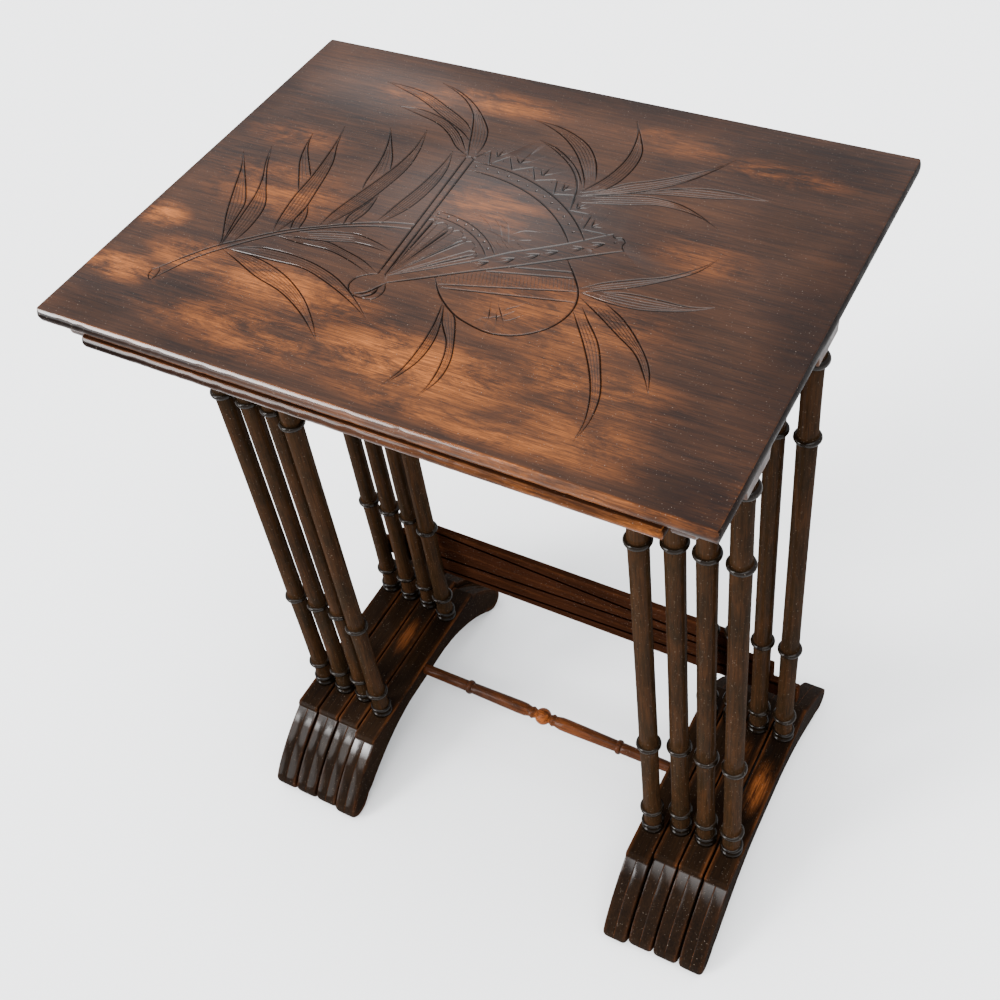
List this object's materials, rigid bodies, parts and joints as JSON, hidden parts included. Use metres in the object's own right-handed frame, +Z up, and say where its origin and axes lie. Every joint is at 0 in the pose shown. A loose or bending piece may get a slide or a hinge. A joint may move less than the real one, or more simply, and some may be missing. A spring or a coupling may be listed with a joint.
{
  "type": "nesting tables",
  "caption": "Nest of side tables with ring-turned bamboo-pattern legs on sledge runners; each smaller table slides out of the next larger one.",
  "frame": {"origin": "on the floor under the middle of the largest top", "axes": "+X to the right, -Y forwards (the way the inner tables slide out), +Z up"},
  "size_m": [0.56, 0.415, 0.73],
  "materials": {
    "top_wood": "worn dark polish, carved",
    "bearer_wood": "dark polish",
    "leg_wood": "dark polish, rubbed",
    "runner_wood": "dark polish, rubbed arrises",
    "board_wood": "stained, dull",
    "stretcher_wood": "dark polish",
    "screw_steel": "plain"
  },
  "bodies": {
    "table_1": {"table1_top": "top_wood", "table1_bearer_left": "bearer_wood", "table1_leg_front_left": "leg_wood", "table1_leg_rear_left": "leg_wood", "table1_runner_left": "runner_wood", "table1_bearer_right": "bearer_wood", "table1_leg_front_right": "leg_wood", "table1_leg_rear_right": "leg_wood", "table1_runner_right": "runner_wood", "table1_top_screws": "screw_steel", "table1_rear_board": "board_wood", "table1_board_screws": "screw_steel"},
    "table_2": {"table2_top": "top_wood", "table2_bearer_left": "bearer_wood", "table2_leg_front_left": "leg_wood", "table2_leg_rear_left": "leg_wood", "table2_runner_left": "runner_wood", "table2_bearer_right": "bearer_wood", "table2_leg_front_right": "leg_wood", "table2_leg_rear_right": "leg_wood", "table2_runner_right": "runner_wood", "table2_top_screws": "screw_steel", "table2_rear_board": "board_wood", "table2_board_screws": "screw_steel"},
    "table_3": {"table3_top": "top_wood", "table3_bearer_left": "bearer_wood", "table3_leg_front_left": "leg_wood", "table3_leg_rear_left": "leg_wood", "table3_runner_left": "runner_wood", "table3_bearer_right": "bearer_wood", "table3_leg_front_right": "leg_wood", "table3_leg_rear_right": "leg_wood", "table3_runner_right": "runner_wood", "table3_top_screws": "screw_steel", "table3_rear_board": "board_wood", "table3_board_screws": "screw_steel"},
    "table_4": {"table4_top": "top_wood", "table4_bearer_left": "bearer_wood", "table4_leg_front_left": "leg_wood", "table4_leg_rear_left": "leg_wood", "table4_runner_left": "runner_wood", "table4_bearer_right": "bearer_wood", "table4_leg_front_right": "leg_wood", "table4_leg_rear_right": "leg_wood", "table4_runner_right": "runner_wood", "table4_top_screws": "screw_steel", "table4_stretcher": "stretcher_wood"}
  },
  "joints": [
    {"name": "table_2_slide", "type": "slide", "parent": "table_1", "child": "table_2", "axis": [0, -1, 0], "range_m": [0, 0.42]},
    {"name": "table_3_slide", "type": "slide", "parent": "table_2", "child": "table_3", "axis": [0, -1, 0], "range_m": [0, 0.42]},
    {"name": "table_4_slide", "type": "slide", "parent": "table_3", "child": "table_4", "axis": [0, -1, 0], "range_m": [0, 0.42]}
  ]
}
